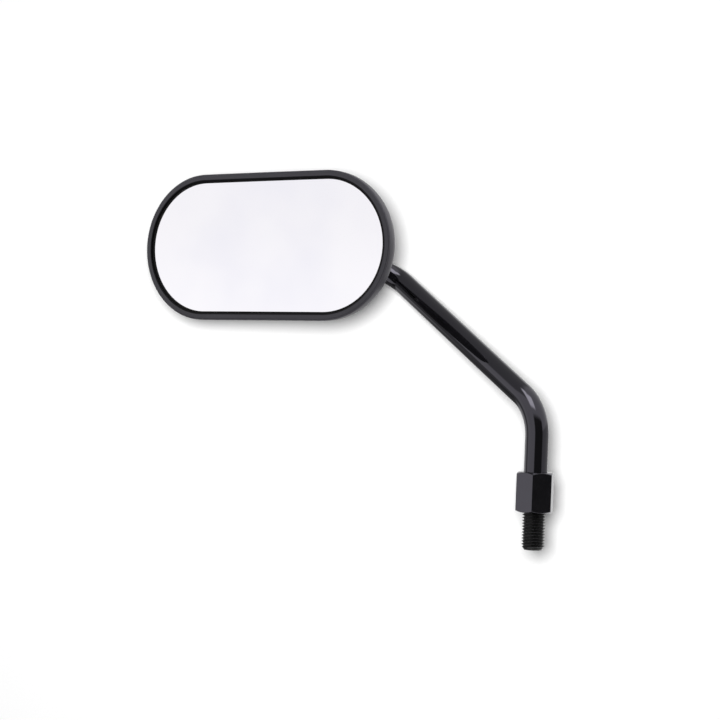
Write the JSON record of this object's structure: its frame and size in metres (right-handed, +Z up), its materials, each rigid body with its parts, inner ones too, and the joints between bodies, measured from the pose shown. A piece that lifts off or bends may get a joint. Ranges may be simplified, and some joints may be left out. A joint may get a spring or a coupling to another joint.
{
  "type": "motorcycle mirror",
  "caption": "Left-hand motorcycle mirror: round-ended convex glass in a dark head on a ball joint, carried by a bent black stem with a threaded foot and a lock nut.",
  "frame": {"origin": "centre of the lock nut's lower face, on the thread's axis", "axes": "+Z up the thread's axis, the glass faces -Y toward the rider, the head lies toward -X"},
  "size_m": [0.1979, 0.0653, 0.1603],
  "materials": {
    "stem_paint": "gloss black paint",
    "nut_paint": "satin black",
    "bright_steel": "zinc-plated",
    "screw_steel": "zinc-plated",
    "nylon": "natural nylon",
    "housing_plastic": "fine-grained dark grey",
    "bezel_plastic": "matte dark grey",
    "carrier_plastic": "plain moulded",
    "seal_rubber": "matte black",
    "mirror": "silvered convex glass",
    "foam": "closed-cell foam"
  },
  "bodies": {
    "stem": {"stem": "stem_paint", "ball": "bright_steel"},
    "lock_nut": {"lock_nut": "nut_paint"},
    "rear_liner": {"rear_liner": "nylon"},
    "front_liner": {"front_liner": "nylon"},
    "head": {"housing": "housing_plastic", "bezel": "bezel_plastic", "glass_seal": "seal_rubber", "mirror_glass": "mirror", "foam_pad": "foam", "glass_carrier": "carrier_plastic", "clamp_plate": "bright_steel", "clamp_screw_1": "screw_steel", "clamp_screw_2": "screw_steel", "clamp_screw_3": "screw_steel", "spring_washer_1": "screw_steel", "spring_washer_2": "screw_steel", "spring_washer_3": "screw_steel"}
  },
  "joints": [
    {"name": "lock_nut_turn", "type": "hinge", "parent": "stem", "child": "lock_nut", "pos_m": [0, 0, 0], "axis": [0, 0, 1], "continuous": true},
    {"name": "head_swivel", "type": "hinge", "parent": "stem", "child": "rear_liner", "pos_m": [-0.10975, -0.00906, 0.10542], "axis": [0.2736, 0.9617, 0.0188], "range_deg": [-20, 20]},
    {"name": "head_tilt", "type": "hinge", "parent": "rear_liner", "child": "front_liner", "pos_m": [-0.10975, -0.00906, 0.10542], "axis": [-0.9618, 0.2736, 0], "range_deg": [-10, 10]},
    {"name": "head_pan", "type": "hinge", "parent": "front_liner", "child": "head", "pos_m": [-0.10975, -0.00906, 0.10542], "axis": [0, 0, 1], "range_deg": [-10, 10]}
  ]
}
